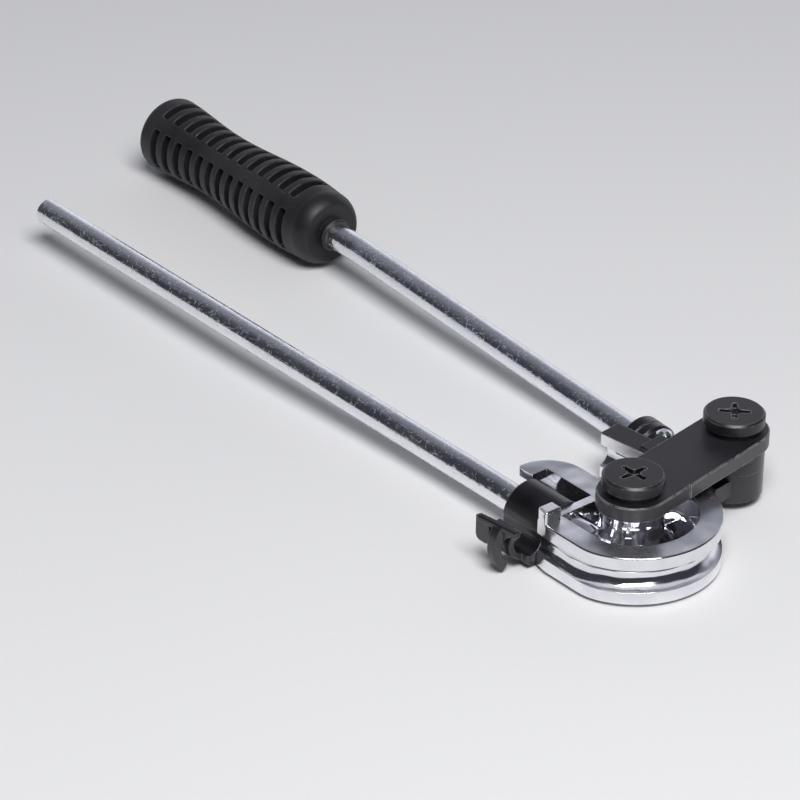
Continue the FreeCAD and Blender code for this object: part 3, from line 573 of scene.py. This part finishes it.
def soften(nodeName, setup):
    source = frame["nodes"][nodeName]
    piece = bpy.data.objects.new(setup["name"], source.data.copy())
    bpy.context.scene.collection.objects.link(piece)
    remesh = piece.modifiers.new("remesh", "REMESH")
    remesh.mode = "VOXEL"
    remesh.voxel_size = setup["voxel"]
    smooth = piece.modifiers.new("smooth", "SMOOTH")
    smooth.factor = setup["strength"]
    smooth.iterations = setup["rounds"]
    ready = piece.evaluated_get(bpy.context.evaluated_depsgraph_get())
    mesh = bpy.data.meshes.new_from_object(ready)
    piece.modifiers.clear()
    piece.data = mesh
    mesh.shade_smooth()
    wear(piece, finishes[slotOf[nodeName]])
    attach(piece, bodyOf(nodeName))
    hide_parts(nodeName)
    print("softened", nodeName, len(mesh.polygons), "faces")


for nodeName, setup in softPieces.items():
    soften(nodeName, setup)


# Floor and light

floorSetup = {
    "colour": (0.80, 0.80, 0.81, 1), "shade": 0.985, "tone": (900.0, 3.0), "toneRange": (0.3, 0.7),
    "roughness": 0.75, "specular": 0.2,
    "riseStart": 0.065, "riseEnd": 0.262, "reach": 4.0, "rings": 28, "sides": 128, "gap": 0.00003,
}


def makeFloor(setup):  # level under the grip, and a little higher under the head, so that both rest on it
    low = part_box("grip")[0].z - setup["gap"]
    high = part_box("tube_hook")[0].z - setup["gap"]
    start, end, rings, sides = setup["riseStart"], setup["riseEnd"], setup["rings"], setup["sides"]
    radii = [0.0] + [start + (end - start) * step / rings for step in range(rings + 1)] + [setup["reach"]]
    points = []
    for radius in radii:
        share = min(1.0, max(0.0, (radius - start) / (end - start)))
        height = high + (low - high) * share * share * (3 - 2 * share)
        for side in range(sides):
            angle = 2 * math.pi * side / sides
            points.append((radius * math.cos(angle), radius * math.sin(angle), height))
    faces = []
    for ring in range(len(radii) - 1):
        for side in range(sides):
            here = ring * sides + side
            beside = ring * sides + (side + 1) % sides
            faces.append((here, here + sides, beside + sides, beside))
    mesh = bpy.data.meshes.new("floor")
    mesh.from_pydata(points, [], faces)
    mesh.shade_smooth()
    floor = bpy.data.objects.new("floor", mesh)
    bpy.context.scene.collection.objects.link(floor)
    material, tree, shader, places = startFinish("floorPaper", 0.0)
    tone = remap(tree, noise(tree, places["Object"], *setup["tone"]), *setup["toneRange"])
    shade = tuple(level * setup["shade"] for level in setup["colour"][:3]) + (1,)
    tree.links.new(tint(tree, tone, setup["colour"], shade), shader["Base Color"])
    shader["Roughness"].default_value = setup["roughness"]
    shader["Specular IOR Level"].default_value = setup["specular"]
    mesh.materials.append(material)


lightSetup = {
    "name": "keySoftbox", "place": (-0.85, 0.50, 1.85), "target": (0.12, 0.0, 0.0), "size": (1.2, 1.0),
    "power": 46.0,  # watts
}


def makeLight(setup):
    data = bpy.data.lights.new(setup["name"], "AREA")
    data.shape = "RECTANGLE"
    data.size, data.size_y = setup["size"]
    data.energy = setup["power"]
    lamp = bpy.data.objects.new(setup["name"], data)
    lamp.location = setup["place"]
    aim = Vector(setup["target"]) - lamp.location
    lamp.rotation_euler = aim.to_track_quat("-Z", "Y").to_euler()
    lamp.visible_camera = False
    bpy.context.scene.collection.objects.link(lamp)


skySetup = {
    "paleWay": (0.77, -0.64, 0.0), "paleLow": (0.80, 0.81, 0.88, 1), "paleMiddle": (0.25, 0.26, 0.30, 1),
    "zenith": (0.14, 0.145, 0.17, 1), "dark": (0.040, 0.042, 0.052, 1), "strength": 1.0,
    "middleRange": (0.28, 0.64), "zenithRange": (0.45, 1.0), "sideRange": (0.22, 0.66),
}


def makeSky(setup):  # a room that is pale low down on one side and dim elsewhere
    world = bpy.data.worlds.new("sky")
    world.use_nodes = True
    tree = world.node_tree
    tree.nodes.clear()
    direction = put(tree, "ShaderNodeTexCoord").outputs["Generated"]
    height = parts(tree, direction)[2]
    toward = dot(tree, direction, setup["paleWay"])
    pale = tint(tree, remap(tree, height, *setup["middleRange"]), setup["paleLow"], setup["paleMiddle"])
    pale = tint(tree, remap(tree, height, *setup["zenithRange"]), pale, setup["zenith"])
    colour = tint(tree, remap(tree, toward, *setup["sideRange"]), setup["dark"], pale)
    light = put(tree, "ShaderNodeBackground", {"Color": colour, "Strength": setup["strength"]})
    put(tree, "ShaderNodeOutputWorld", {"Surface": light.outputs[0]})
    bpy.context.scene.world = world


makeFloor(floorSetup)
makeLight(lightSetup)
makeSky(skySetup)
bpy.context.scene.view_settings.view_transform = "Standard"
print("floor and light made")
